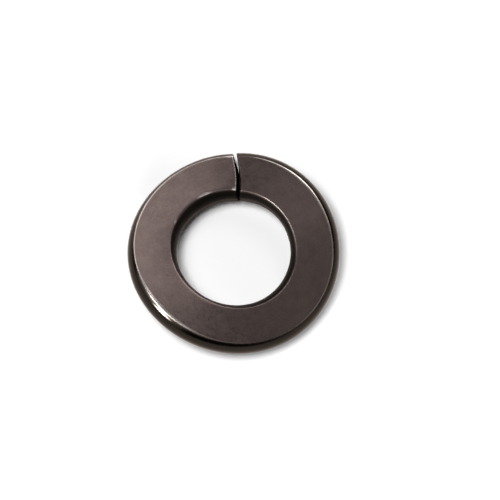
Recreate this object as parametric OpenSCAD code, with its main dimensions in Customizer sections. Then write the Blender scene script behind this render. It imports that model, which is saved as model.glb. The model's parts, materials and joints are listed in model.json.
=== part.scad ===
// Waved spring lock washer: one length of flattened wire, coiled into a ring,
// sheared across at a narrow slit and pressed into a two-crest wave.
// The bore axis is Z, the slit lies towards +Y, and the washer rests on Z = 0.

/* [Ring] */
// Bore of the finished ring, clear of the bolt that goes through it
bore_d = 6.2; // [4:0.1:30]
// Width of the flattened wire, measured along the radius
wire_w = 2.68; // [1.6:0.01:5]
// Thickness of the flattened wire
wire_t = 1.4; // [0.9:0.05:3]

/* [Section] */
// How far the rounded outer side stands out past the flat faces
outer_bulge = 0.35; // [0.15:0.01:0.6]
// How far the rounded inner side stands in past the flat faces, before it is dressed
inner_bulge = 0.36; // [0.15:0.01:0.6]
// Radius that blends each flat face into a rounded side
edge_round = 0.08; // [0.02:0.01:0.2]
// Depth to which the bore is dressed into the inner side of the wire
bore_dressing = 0.03; // [0.01:0.01:0.12]

/* [Wave] */
// Rise of the wire's centre line from the two low places to the two crests
wave_rise = 0.62; // [0:0.02:2]
// Angle by which the section leans outwards and up at a crest
crest_lean = 8.6; // [0:0.1:15]

/* [Cut ends] */
// Width of the slit at the middle of the wire
slit_w = 0.22; // [0.08:0.01:0.8]
// Angle of the slit from the radius, seen from above
slit_slant = 7; // [-15:0.5:15]
// Angle of the slit from upright, seen through the thickness
slit_bias = 0; // [-15:0.5:15]
// Angle at which each end falls back, so that the slit opens towards the bore
slit_flare = 1; // [0:0.1:2]
// How far the end on the -X side of the slit droops below the wave
left_drop = 0.2; // [0:0.01:0.4]
// How far the end on the +X side of the slit droops below the wave
right_drop = 0.1; // [0:0.01:0.4]
// Twist left in the ends by the shears: the left end turns outwards down, the right one up
end_twist = 3; // [0:0.5:10]
// Angle round the ring over which the droop and the twist fade by two thirds
end_reach = 15; // [5:1:30]

/* [Hidden] */

crests = 2;
slit_at = 90;
steps_round = 120;
steps_side = 8;
steps_edge = 3;
bore_facets = 180;
cut_margin = 1;

mean_r = bore_d / 2 - bore_dressing + wire_w / 2;
half_w = wire_w / 2;
half_t = wire_t / 2;

// Points on an arc, without its first one, so that arcs can be joined up.
function arc(x, y, r, from, to, steps) =
    [for (i = [1:steps]) let (a = from + (to - from) * i / steps) [x + r * cos(a), y + r * sin(a)]];

// One rounded side of the section, from the lower face up to the upper one: an arc that
// stands out by the bulge, and a small edge arc that blends it into each face.
function rounded_side(bulge) =
    let (
        side_r = (half_t * half_t + bulge * bulge) / (2 * bulge),
        side_x = half_w - side_r,
        edge_y = half_t - edge_round,
        edge_x = side_x + sqrt(pow(side_r - edge_round, 2) - edge_y * edge_y),
        turn = atan2(edge_y, edge_x - side_x)
    )
    concat(
        [[edge_x, -half_t]],
        arc(edge_x, -edge_y, edge_round, -90, -turn, steps_edge),
        arc(side_x, 0, side_r, -turn, turn, steps_side),
        arc(edge_x, edge_y, edge_round, turn, 90, steps_edge)
    );

// The wire's section: up its outer side and back down its inner one.
outer_side = rounded_side(outer_bulge);
inner_side = rounded_side(inner_bulge);
section = concat(
    outer_side,
    [for (i = [len(inner_side) - 1:-1:0]) [-inner_side[i][0], inner_side[i][1]]]
);
section_n = len(section);

// How near an angle is to each cut end: 1 at the end itself, fading round the ring.
function near_left(a) = exp(-(a - slit_at) / end_reach);
function near_right(a) = exp(-(slit_at + 360 - a) / end_reach);

// Height and lean of the section at an angle round the ring.
function rise(a) =
    wave_rise / 2 * sin(crests * a) - left_drop * near_left(a) - right_drop * near_right(a);
function lean(a) = crest_lean * sin(crests * a) + end_twist * (near_right(a) - near_left(a));

// Angle at which the wire's line through a section point is cut: the middle of the
// slit there, and half of the slit's width to the given side.
function slit_middle(p) = p[0] * tan(slit_slant) + p[1] * tan(slit_bias);
function slit_half(p) = slit_w / 2 - p[0] * tan(slit_flare);
function cut_angle(p, side) =
    slit_at + (slit_middle(p) + side * slit_half(p)) / (mean_r + p[0]) * 180 / PI;

// A section point, leaned and lifted, at an angle round the ring.
function placed(p, a) =
    let (
        r = mean_r + p[0] * cos(lean(a)) - p[1] * sin(lean(a)),
        z = rise(a) + p[0] * sin(lean(a)) + p[1] * cos(lean(a))
    )
    [r * cos(a), r * sin(a), z];

wire_points = [
    for (i = [0:steps_round]) for (p = section)
        let (start = cut_angle(p, 1), finish = cut_angle(p, -1) + 360)
        placed(p, start + (finish - start) * i / steps_round)
];
rest_z = -min([for (p = wire_points) p[2]]);
full_h = rest_z + max([for (p = wire_points) p[2]]);

// The coiled wire, from one cut end round to the other.
module wire() {
    walls = [
        for (i = [0:steps_round - 1]) for (j = [0:section_n - 1])
            let (k = (j + 1) % section_n, here = i * section_n, next = here + section_n)
            [here + j, here + k, next + k, next + j]
    ];
    start_face = [for (j = [section_n - 1:-1:0]) j];
    finish_face = [for (j = [0:section_n - 1]) steps_round * section_n + j];
    translate([0, 0, rest_z])
        polyhedron(points = wire_points, faces = concat(walls, [start_face, finish_face]));
}

// The bore takes a shallow land off the inner side, full round at mid-height.
module washer() {
    color([0.33, 0.29, 0.28])
        difference() {
            wire();
            translate([0, 0, -cut_margin])
                cylinder(h = full_h + 2 * cut_margin, d = bore_d, $fn = bore_facets);
        }
}

washer();
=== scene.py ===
"""Looks for the wave washer: a fine mesh of the waved ring, its blackened steel, a pale floor,
soft lamps and the camera. Everything is in metres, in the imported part's own frame."""

import json
import math

import bmesh
import bpy
from mathutils import Matrix, Vector


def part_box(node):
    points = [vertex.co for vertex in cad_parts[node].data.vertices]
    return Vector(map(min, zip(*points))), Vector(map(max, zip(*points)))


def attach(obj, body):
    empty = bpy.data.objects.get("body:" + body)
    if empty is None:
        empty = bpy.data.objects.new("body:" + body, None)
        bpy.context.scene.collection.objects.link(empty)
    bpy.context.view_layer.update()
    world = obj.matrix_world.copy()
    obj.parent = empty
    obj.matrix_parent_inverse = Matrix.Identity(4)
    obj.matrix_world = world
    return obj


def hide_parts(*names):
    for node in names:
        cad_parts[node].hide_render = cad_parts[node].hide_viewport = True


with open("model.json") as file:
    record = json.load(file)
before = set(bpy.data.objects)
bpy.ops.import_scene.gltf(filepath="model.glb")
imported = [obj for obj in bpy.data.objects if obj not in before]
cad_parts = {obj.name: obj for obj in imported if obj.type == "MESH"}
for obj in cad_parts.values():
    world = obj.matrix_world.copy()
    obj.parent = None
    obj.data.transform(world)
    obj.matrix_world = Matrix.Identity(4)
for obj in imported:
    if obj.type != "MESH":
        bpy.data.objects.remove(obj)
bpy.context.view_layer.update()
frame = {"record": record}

MM = 0.001

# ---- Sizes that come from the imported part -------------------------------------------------
ring_low, ring_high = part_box("washer")
bore_mount = frame["record"]["mounts"][0]
BORE_R = bore_mount["dims"]["r_mm"] * MM
MID_HEIGHT = bore_mount["pos_m"][2]
BOX_ALLOWANCE = 0.001 * MM
OUTER_R = ring_high.x - BOX_ALLOWANCE

# ---- The wire, before it is coiled --------------------------------------------------------
WIRE_T = 1.4 * MM
OUTER_BULGE = 0.35 * MM
INNER_BULGE = 0.36 * MM
EDGE_ROUND = 0.08 * MM
BORE_DRESSING = 0.03 * MM
WIRE_W = OUTER_R - BORE_R + BORE_DRESSING
MEAN_R = OUTER_R - WIRE_W / 2
HALF_W = WIRE_W / 2
HALF_T = WIRE_T / 2

# ---- The wave and the cut ends ------------------------------------------------------------
# The cut slants at the outside and bends straight towards the bore. Through the thickness both
# ends lean the same way, and the left one also stands out at its lower edge in a narrow lip.
CRESTS = 2
WAVE_RISE = 0.62 * MM - BOX_ALLOWANCE
CREST_LEAN = math.radians(8.6)
SLIT_AT = math.radians(90)
SLIT_W = 0.2 * MM
SLIT_SLANT = math.radians(12)
SLIT_SHIFT = -0.078 * MM
CUT_BEND_AT = 0.4 * MM
CUT_BEND = 0.098 / MM
LEFT_DROP = 0.2 * MM
RIGHT_DROP = 0.1 * MM
END_TWIST = math.radians(3)
END_REACH = math.radians(15)
LEFT_UPPER_ROUND = 0.04 * MM
LEFT_LOWER_ROUND = 0.1 * MM
CUT_LEAN = 0.09 * MM
LIP_LEAST = 0.07 * MM
LIP_RISE = 0.08
LIP_CLEARANCE = 0.01 * MM
RIGHT_UPPER_ROUND = 0.04 * MM
RIGHT_ROLLED_ROUND = 0.15 * MM
RIGHT_LOWER_ROUND = 0.05 * MM
CUT_SIDE_ROUND = 0.03 * MM

# ---- Where the black finish is gone, and where highlights are painted on ------------------
EDGE_REACH = 0.05 * MM
RIGHT_FADE = 1.0 * MM
LEFT_BURR_AT = 0.055 * MM
LEFT_BURR_WIDTH = 0.03 * MM
LEFT_BURR_SHARE = 0.76

# Along each edge: the least share of the finish that is gone, then places with more or less of
# it, each with its angle round the ring, its reach (both in degrees) and what it adds. These places
# are partly bare steel and partly painted highlight, brighter where the edge catches the lamps. The
# painted highlight streak on the outer wall, just under the top edge, has its angle and reach in degrees
# too.
OUTER_LEAST = 0.65
OUTER_RUBS_AND_HIGHLIGHTS = ((50, 40, 0.45), (226, 18, 1.4), (94, 2.5, 0.6), (150, 25, 0.3), (285, 35, -0.3))
INNER_LEAST = 0.5
INNER_RUBS_AND_HIGHLIGHTS = ((232, 40, -0.4), (91.3, 1.7, 2.5), (119, 6, 0.9), (156, 2, 0.5), (58, 22, 0.2))
PAINTED_STREAK_AT = 227
PAINTED_STREAK_REACH = 8
PAINTED_STREAK_DEPTH = 0.13 * MM
PAINTED_STREAK_WIDTH = 0.045 * MM

# ---- How finely the ring is made ----------------------------------------------------------
SIDE_STEPS = 24
EDGE_STEPS = 5
FACE_CUTS = 13
RING_STEPS = 420
PLAIN_TURN = math.radians(359)
STRAY_TURN = math.radians(0.1)
END_CROWDING = 0.8


# ---- The wire's section -------------------------------------------------------------------
def arc_radius(bulge):
    """Radius of the arc that stands out by the bulge over the wire's thickness."""
    return (HALF_T ** 2 + bulge ** 2) / (2 * bulge)


def side_arc(bm, outwards, bulge):
    """One rounded side of the wire, spun as an arc from its upper corner to its lower one."""
    radius = arc_radius(bulge)
    centre = Vector((MEAN_R + outwards * (HALF_W - radius), 0, 0))
    upper = bm.verts.new((MEAN_R + outwards * (HALF_W - bulge), 0, HALF_T))
    turn = 2 * math.asin(HALF_T / radius)
    made = bmesh.ops.spin(
        bm, geom=[upper], cent=centre, axis=(0, 1, 0), angle=outwards * turn, steps=SIDE_STEPS
    )
    lower = next(part for part in made["geom_last"] if isinstance(part, bmesh.types.BMVert))
    return upper, lower


def wire_section(bm):
    """The closed outline of the flattened wire: two bulged sides, two flat faces, blended corners."""
    outer_upper, outer_lower = side_arc(bm, 1, OUTER_BULGE)
    inner_upper, inner_lower = side_arc(bm, -1, INNER_BULGE)
    bm.edges.new((inner_upper, outer_upper))
    bm.edges.new((outer_lower, inner_lower))
    bmesh.ops.contextual_create(bm, geom=bm.edges[:])
    corner_turn = math.pi / 2 - math.asin(HALF_T / arc_radius(OUTER_BULGE))
    bmesh.ops.bevel(
        bm,
        geom=[outer_upper, outer_lower, inner_upper, inner_lower],
        offset=EDGE_ROUND * math.tan(corner_turn / 2),
        segments=EDGE_STEPS,
        affect="VERTICES",
        profile=0.5,
        material=-1,
    )
    bmesh.ops.delete(bm, geom=bm.faces[:], context="FACES_ONLY")
    flats = [edge for edge in bm.edges if edge.calc_length() > HALF_W]
    bmesh.ops.subdivide_edges(bm, edges=flats, cuts=FACE_CUTS)


# ---- The ring -----------------------------------------------------------------------------
def coil(bm):
    """Spins the section round the bore's axis, from the one cut end to the other."""
    outline = bm.edges[:] + bm.verts[:]
    bmesh.ops.spin(bm, geom=outline, cent=(0, 0, 0), axis=(0, 0, 1), angle=PLAIN_TURN, steps=RING_STEPS)
    for face in bm.faces:
        face.smooth = True


def rounding(distance, radius):
    """How far a surface has fallen back where a cut edge is rounded, at a distance from the cut."""
    still_round = min(max(radius - distance, 0), radius)
    return radius - math.sqrt(radius ** 2 - still_round ** 2)


def near(angle, end):
    """1 at a cut end, fading round the ring."""
    return math.exp(-abs(angle - end) / END_REACH)


def hump(angle, middle, reach):
    """1 at a middle angle (in degrees), fading to 0 either side of it."""
    away = (math.degrees(angle) - middle + 180) % 360 - 180
    return math.exp(-((away / reach) ** 2))


def line(distance, middle, width):
    """1 on a line at a distance from an edge, fading to 0 either side of it."""
    return math.exp(-(((distance - middle) / width) ** 2))


def wear_and_highlight_share(angle, out, height, from_left, from_right):
    """How much of the black is gone on the edges and at the left end's burr, with painted highlights:
    brighter places along the edges and a streak on the outer wall.
    """
    least, rubs_and_highlights = (OUTER_LEAST, OUTER_RUBS_AND_HIGHLIGHTS) if out > 0 else (INNER_LEAST, INNER_RUBS_AND_HIGHLIGHTS)
    share = least + sum(more * hump(angle, middle, reach) for middle, reach, more in rubs_and_highlights)
    from_face = HALF_T - abs(height)
    corner = min(abs(abs(out) - (HALF_W - OUTER_BULGE)), HALF_W) + from_face
    edge = math.exp(-corner / EDGE_REACH) * (1 - math.exp(-from_right / RIGHT_FADE))
    burr = LEFT_BURR_SHARE * line(from_left, LEFT_BURR_AT, LEFT_BURR_WIDTH)
    wear_and_highlight = max(edge * share, burr * math.exp(-from_face / EDGE_REACH))
    # The streak on the outer wall below the top edge is a painted highlight, standing for a lamp's
    # reflection on the rounded wall.
    if out > 0 and height > 0:
        wear_and_highlight = max(wear_and_highlight, hump(angle, PAINTED_STREAK_AT, PAINTED_STREAK_REACH) * line(from_face, PAINTED_STREAK_DEPTH, PAINTED_STREAK_WIDTH))
    return wear_and_highlight


def press_wave(bm):
    """Moves every point of the plain ring to its place in the waved one, between the sheared ends.

    Each point keeps, for the finish, its place in the straight wire, how near it is to an edge, and its
    share of bare steel and painted highlight.
    """
    wire_place = bm.verts.layers.float_vector.new("wire_place")
    edge_wear_and_highlight = bm.verts.layers.float.new("edge_wear_and_highlight")
    outer_side = bm.verts.layers.float.new("outer_side")
    inner_side = bm.verts.layers.float.new("inner_side")
    left_end = SLIT_AT
    right_end = SLIT_AT + 2 * math.pi
    for vert in bm.verts:
        x, y, height = vert.co
        out = math.hypot(x, y) - MEAN_R
        turned = math.atan2(y, x) % (2 * math.pi)
        share = turned / PLAIN_TURN if turned <= PLAIN_TURN + STRAY_TURN else 0
        share -= END_CROWDING * math.sin(2 * math.pi * share) / (2 * math.pi)

        inward = (HALF_W - out) / WIRE_W
        depth = (HALF_T - height) / WIRE_T
        middle = SLIT_SHIFT + out * math.tan(SLIT_SLANT) + CUT_BEND * max(CUT_BEND_AT - out, 0) ** 2
        middle -= CUT_LEAN * depth
        lip = min(LIP_LEAST + LIP_RISE * (HALF_W - out), SLIT_W - LIP_CLEARANCE)
        start = left_end + (middle + SLIT_W / 2 - lip * depth) / (MEAN_R + out)
        finish = right_end + (middle - SLIT_W / 2) / (MEAN_R + out)
        angle = start + (finish - start) * share
        from_left = (angle - start) * (MEAN_R + out)
        from_right = (finish - angle) * (MEAN_R + out)

        vert[wire_place] = Vector((angle * MEAN_R, out, height)) / MM
        from_face = HALF_T - abs(height)
        vert[edge_wear_and_highlight] = wear_and_highlight_share(angle, out, height, from_left, from_right)
        side = min(from_face / EDGE_ROUND, 1)
        vert[outer_side] = side if out > 0 else 0
        vert[inner_side] = side if out < 0 else 0

        upper = height > 0
        rolled = RIGHT_UPPER_ROUND + (RIGHT_ROLLED_ROUND - RIGHT_UPPER_ROUND) * inward
        flat_back = rounding(from_left, LEFT_UPPER_ROUND if upper else LEFT_LOWER_ROUND)
        flat_back += rounding(from_right, rolled if upper else RIGHT_LOWER_ROUND)
        side_back = rounding(min(from_left, from_right), CUT_SIDE_ROUND)
        height *= 1 - flat_back / HALF_T
        out *= 1 - side_back / HALF_W

        level = WAVE_RISE / 2 * math.sin(CRESTS * angle)
        level -= LEFT_DROP * near(angle, left_end) + RIGHT_DROP * near(angle, right_end)
        lean = CREST_LEAN * math.sin(CRESTS * angle)
        lean += END_TWIST * (near(angle, right_end) - near(angle, left_end))
        radius = MEAN_R + out * math.cos(lean) - height * math.sin(lean)
        radius = max(radius, BORE_R)
        level += out * math.sin(lean) + height * math.cos(lean)
        vert.co = Vector((radius * math.cos(angle), radius * math.sin(angle), level))


def close_ends(bm):
    """Fills the two sheared faces."""
    sheared = bm.faces.layers.float.new("sheared")
    rims = [edge for edge in bm.edges if edge.is_boundary]
    made = bmesh.ops.holes_fill(bm, edges=rims, sides=0)
    for face in made["faces"]:
        face.smooth = False
        face[sheared] = 1
    bmesh.ops.recalc_face_normals(bm, faces=bm.faces[:])


def stand(bm, floor_z):
    """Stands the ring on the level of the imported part's lowest points."""
    lowest = min(vert.co.z for vert in bm.verts)
    bmesh.ops.translate(bm, verts=bm.verts[:], vec=(0, 0, floor_z - lowest))


def make_ring():
    bm = bmesh.new()
    wire_section(bm)
    coil(bm)
    press_wave(bm)
    close_ends(bm)
    stand(bm, ring_low.z)
    mesh = bpy.data.meshes.new("waved_ring")
    bm.to_mesh(mesh)
    bm.free()
    piece = bpy.data.objects.new("waved_ring", mesh)
    bpy.context.scene.collection.objects.link(piece)
    return piece


# ---- Blackened steel ----------------------------------------------------------------------
OXIDE = (0.108, 0.079, 0.074, 1)
OXIDE_LIGHT = (0.138, 0.105, 0.097, 1)
# The walls and the sheared ends are darker than the top face: painted shade for the dark room and shadowed
# floor the walls reflect, and for the shade in the slit.
OUTER_OXIDE_PAINTED_SHADE = (0.024, 0.019, 0.015, 1)
INNER_OXIDE_PAINTED_SHADE = (0.016, 0.0135, 0.011, 1)
GRAZING_TINT = (0.9, 0.81, 0.77, 1)
BARE_STEEL_AND_HIGHLIGHT = (0.75, 0.68, 0.63, 1)
OUTER_ROUGHNESS = 0.2
INNER_ROUGHNESS = 0.5
SHEARED_ROUGHNESS = 0.95
WORN_ROUGHNESS = 0.16
SATIN_LOW = 0.25
SATIN_HIGH = 0.31
STREAK_STRETCH = 9
STREAK_SHARE = 0.3
SKIN_DEPTH = 0.002 * MM

# Each grain: how many features to a millimetre of wire, and how fine its detail goes.
CLOUD_GRAIN = (1.6, 5.0)
STREAK_GRAIN = (7.0, 3.0)
PATCH_GRAIN = (2.2, 4.0)
SATIN_GRAIN = (5.0, 3.0)
SKIN_GRAIN = (6.0, 4.0)

# The part of each value's range that is spread out, from low to high.
CLOUD_RANGE = (0.32, 0.68)
STREAK_RANGE = (0.3, 0.7)
SATIN_RANGE = (0.3, 0.7)
PATCH_RANGE = (0.3, 0.6)
WEAR_AND_HIGHLIGHT_RANGE = (0.3, 0.8)
LEAST_PATCH = 0.55


def link(tree, source, target):
    tree.links.new(source, target)


def make_node(tree, kind, **values):
    node = tree.nodes.new(kind)
    for name, value in values.items():
        setattr(node, name, value)
    return node


def attribute(tree, name):
    return make_node(tree, "ShaderNodeAttribute", attribute_name=name)


def spread(tree, source, low, high, new_low, new_high):
    """Maps a value from one range on to another, and holds it there."""
    node = make_node(tree, "ShaderNodeMapRange", clamp=True)
    link(tree, source, node.inputs["Value"])
    for socket, value in zip(("From Min", "From Max", "To Min", "To Max"), (low, high, new_low, new_high)):
        node.inputs[socket].default_value = value
    return node.outputs["Result"]


def grain(tree, place, size):
    scale, detail = size
    node = make_node(tree, "ShaderNodeTexNoise")
    link(tree, place, node.inputs["Vector"])
    node.inputs["Scale"].default_value = scale
    node.inputs["Detail"].default_value = detail
    return node.outputs["Fac"]


def fill(tree, socket, value):
    """Gives a socket either another node's result or a plain value."""
    if isinstance(value, bpy.types.NodeSocket):
        link(tree, value, socket)
    else:
        socket.default_value = value


def along_wire(tree, place, stretch):
    """The place on the wire with its length shortened, so that a pattern on it is drawn out."""
    node = make_node(tree, "ShaderNodeMapping")
    link(tree, place, node.inputs["Vector"])
    node.inputs["Scale"].default_value = (1 / stretch, 1, 1)
    return node.outputs["Vector"]


def mixed(tree, share, one, other):
    """A colour between two others."""
    node = make_node(tree, "ShaderNodeMix", data_type="RGBA")
    link(tree, share, node.inputs["Factor"])
    fill(tree, node.inputs[6], one)
    fill(tree, node.inputs[7], other)
    return node.outputs[2]


def between(tree, share, one, other):
    """A number between two others."""
    node = make_node(tree, "ShaderNodeMix")
    link(tree, share, node.inputs["Factor"])
    fill(tree, node.inputs["A"], one)
    fill(tree, node.inputs["B"], other)
    return node.outputs["Result"]


def mixed_share(tree, one, other, share):
    """Two numbers mixed in a fixed share."""
    node = make_node(tree, "ShaderNodeMix")
    node.inputs["Factor"].default_value = share
    link(tree, one, node.inputs["A"])
    link(tree, other, node.inputs["B"])
    return node.outputs["Result"]


def times(tree, one, other):
    node = make_node(tree, "ShaderNodeMath", operation="MULTIPLY")
    fill(tree, node.inputs[0], one)
    fill(tree, node.inputs[1], other)
    return node.outputs[0]


def blackened_steel():
    material = bpy.data.materials.new("blackened_steel")
    material.use_nodes = True
    tree = material.node_tree
    shader = tree.nodes["Principled BSDF"]
    shader.inputs["Metallic"].default_value = 1.0
    shader.inputs["Specular Tint"].default_value = GRAZING_TINT
    place = attribute(tree, "wire_place").outputs["Vector"]

    cloudy = spread(tree, grain(tree, place, CLOUD_GRAIN), *CLOUD_RANGE, 0, 1)
    drawn_out = along_wire(tree, place, STREAK_STRETCH)
    streaky = spread(tree, grain(tree, drawn_out, STREAK_GRAIN), *STREAK_RANGE, 0, 1)
    mottle = mixed_share(tree, cloudy, streaky, STREAK_SHARE)
    patchy = spread(tree, grain(tree, place, PATCH_GRAIN), *PATCH_RANGE, LEAST_PATCH, 1)
    outer = attribute(tree, "outer_side").outputs["Fac"]
    inner = attribute(tree, "inner_side").outputs["Fac"]
    # Bare steel on the edges and at the burr, plus painted highlights at chosen places along the edges and
    # in the outer wall's streak.
    worn_and_highlit = spread(tree, attribute(tree, "edge_wear_and_highlight").outputs["Fac"], *WEAR_AND_HIGHLIGHT_RANGE, 0, 1)
    worn_and_highlit = times(tree, worn_and_highlit, patchy)
    sheared = attribute(tree, "sheared").outputs["Fac"]
    worn_and_highlit = times(tree, worn_and_highlit, spread(tree, sheared, 0, 1, 1, 0))
    oxide = mixed(tree, mottle, OXIDE, OXIDE_LIGHT)
    # Painted shade: the outer and inner walls and the sheared ends take darker colours than the top face.
    oxide = mixed(tree, outer, oxide, OUTER_OXIDE_PAINTED_SHADE)
    oxide = mixed(tree, inner, oxide, INNER_OXIDE_PAINTED_SHADE)
    oxide = mixed(tree, sheared, oxide, OUTER_OXIDE_PAINTED_SHADE)
    link(tree, mixed(tree, worn_and_highlit, oxide, BARE_STEEL_AND_HIGHLIGHT), shader.inputs["Base Color"])
    satin = spread(tree, grain(tree, place, SATIN_GRAIN), *SATIN_RANGE, SATIN_LOW, SATIN_HIGH)
    satin = between(tree, outer, satin, OUTER_ROUGHNESS)
    satin = between(tree, inner, satin, INNER_ROUGHNESS)
    satin = between(tree, sheared, satin, SHEARED_ROUGHNESS)
    link(tree, between(tree, worn_and_highlit, satin, WORN_ROUGHNESS), shader.inputs["Roughness"])

    skin = make_node(tree, "ShaderNodeBump")
    skin.inputs["Distance"].default_value = SKIN_DEPTH
    link(tree, grain(tree, place, SKIN_GRAIN), skin.inputs["Height"])
    link(tree, skin.outputs["Normal"], shader.inputs["Normal"])
    return material


# ---- Floor, lamps, world and camera -------------------------------------------------------
FLOOR_R = 0.4
FLOOR_SEGMENTS = 96
PAPER = (0.94, 0.94, 0.94, 1)
PAPER_ROUGHNESS = 0.9
PAPER_SHINE = 0.1
LAMP_DISTANCE = 0.6
ROOM_LIGHT = 0.03

# Name, azimuth from +X, elevation, width and height (all in degrees), brightness.
WASHER_LAMPS = (
    ("far_panel", 100, 46, 72, 24, 2.1),
    ("right_panel", 45, 45, 30, 24, 0.9),
    ("right_lamp", 64, 26, 24, 26, 6),
    ("left_panel", 203, 28, 64, 48, 1.2),
    ("left_lamp", 207, 33, 30, 24, 7),
    ("low_right", 345, 35, 40, 24, 1),
    ("overhead_left", 180, 70, 30, 30, 0.55),
    ("overhead_far", 90, 80, 30, 30, 0.32),
    ("overhead_right", 0, 70, 30, 30, 0.19),
    ("front_panel", 275, 51, 50, 34, 1.1),
)
PAPER_LAMPS = (
    ("paper_overhead", 205, 76, 26, 18, 15.8),
    ("paper_left", 190, 64, 24, 20, 4.6),
    ("paper_far", 68, 50, 26, 24, 2.2),
    ("paper_right", 0, 12, 30, 14, 11.5),
    ("paper_front", 270, 12, 30, 14, 22),
)


def make_floor():
    bm = bmesh.new()
    bmesh.ops.create_circle(bm, cap_ends=True, segments=FLOOR_SEGMENTS, radius=FLOOR_R)
    mesh = bpy.data.meshes.new("pale_floor")
    bm.to_mesh(mesh)
    bm.free()
    floor = bpy.data.objects.new("pale_floor", mesh)
    bpy.context.scene.collection.objects.link(floor)
    material = bpy.data.materials.new("pale_paper")
    material.use_nodes = True
    shader = material.node_tree.nodes["Principled BSDF"]
    shader.inputs["Base Color"].default_value = PAPER
    shader.inputs["Roughness"].default_value = PAPER_ROUGHNESS
    shader.inputs["Specular IOR Level"].default_value = PAPER_SHINE
    mesh.materials.append(material)
    return floor


def make_panel(name, azimuth, elevation, width, height, brightness, lit):
    """A soft panel that faces the washer and lights one piece of the scene."""
    data = bpy.data.lights.new(name, "AREA")
    data.shape = "RECTANGLE"
    data.size = 2 * LAMP_DISTANCE * math.tan(math.radians(width) / 2)
    data.size_y = 2 * LAMP_DISTANCE * math.tan(math.radians(height) / 2)
    data.energy = brightness * math.pi * data.size * data.size_y
    lamp = bpy.data.objects.new(name, data)
    bpy.context.scene.collection.objects.link(lamp)
    round_about = math.radians(azimuth)
    up = math.radians(elevation)
    towards = Vector(
        (math.cos(round_about) * math.cos(up), math.sin(round_about) * math.cos(up), math.sin(up))
    )
    lamp.location = towards * LAMP_DISTANCE
    lamp.rotation_euler = towards.to_track_quat("Z", "Y").to_euler()
    lamp.visible_camera = False
    receivers = bpy.data.collections.new(name + "_lights")
    receivers.objects.link(lit)
    lamp.light_linking.receiver_collection = receivers


def make_world():
    world = bpy.data.worlds.new("studio")
    bpy.context.scene.world = world
    world.use_nodes = True
    background = world.node_tree.nodes["Background"]
    background.inputs["Color"].default_value = (1, 1, 1, 1)
    background.inputs["Strength"].default_value = ROOM_LIGHT


CAMERA_AZIMUTH = math.radians(2.35)
CAMERA_ELEVATION = math.radians(69.94)
CAMERA_DISTANCE = 0.4
CAMERA_LENS = 531.3
CAMERA_RIGHT = 0.896 * MM
CAMERA_UP = 0.14 * MM
SENSOR_WIDTH = 36
CLIP_NEAR = 0.01
CLIP_FAR = 5


def make_camera():
    back = Vector(
        (
            math.sin(CAMERA_AZIMUTH) * math.cos(CAMERA_ELEVATION),
            -math.cos(CAMERA_AZIMUTH) * math.cos(CAMERA_ELEVATION),
            math.sin(CAMERA_ELEVATION),
        )
    )
    right = Vector((math.cos(CAMERA_AZIMUTH), math.sin(CAMERA_AZIMUTH), 0))
    up = back.cross(right)
    data = bpy.data.cameras.new("camera")
    data.lens = CAMERA_LENS
    data.sensor_width = SENSOR_WIDTH
    data.clip_start = CLIP_NEAR
    data.clip_end = CLIP_FAR
    camera = bpy.data.objects.new("camera", data)
    bpy.context.scene.collection.objects.link(camera)
    turn = Matrix((right, up, back)).transposed().to_4x4()
    aim = Vector((0, 0, MID_HEIGHT)) + right * CAMERA_RIGHT + up * CAMERA_UP
    camera.matrix_world = Matrix.Translation(aim + back * CAMERA_DISTANCE) @ turn
    bpy.context.scene.camera = camera


washer = make_ring()
washer.data.materials.append(blackened_steel())
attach(washer, "root")
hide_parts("washer")
floor = make_floor()
for panel in WASHER_LAMPS:
    make_panel(*panel, lit=washer)
for panel in PAPER_LAMPS:
    make_panel(*panel, lit=floor)
make_world()
make_camera()
bpy.context.scene.view_settings.view_transform = "Standard"

bpy.context.view_layer.update()
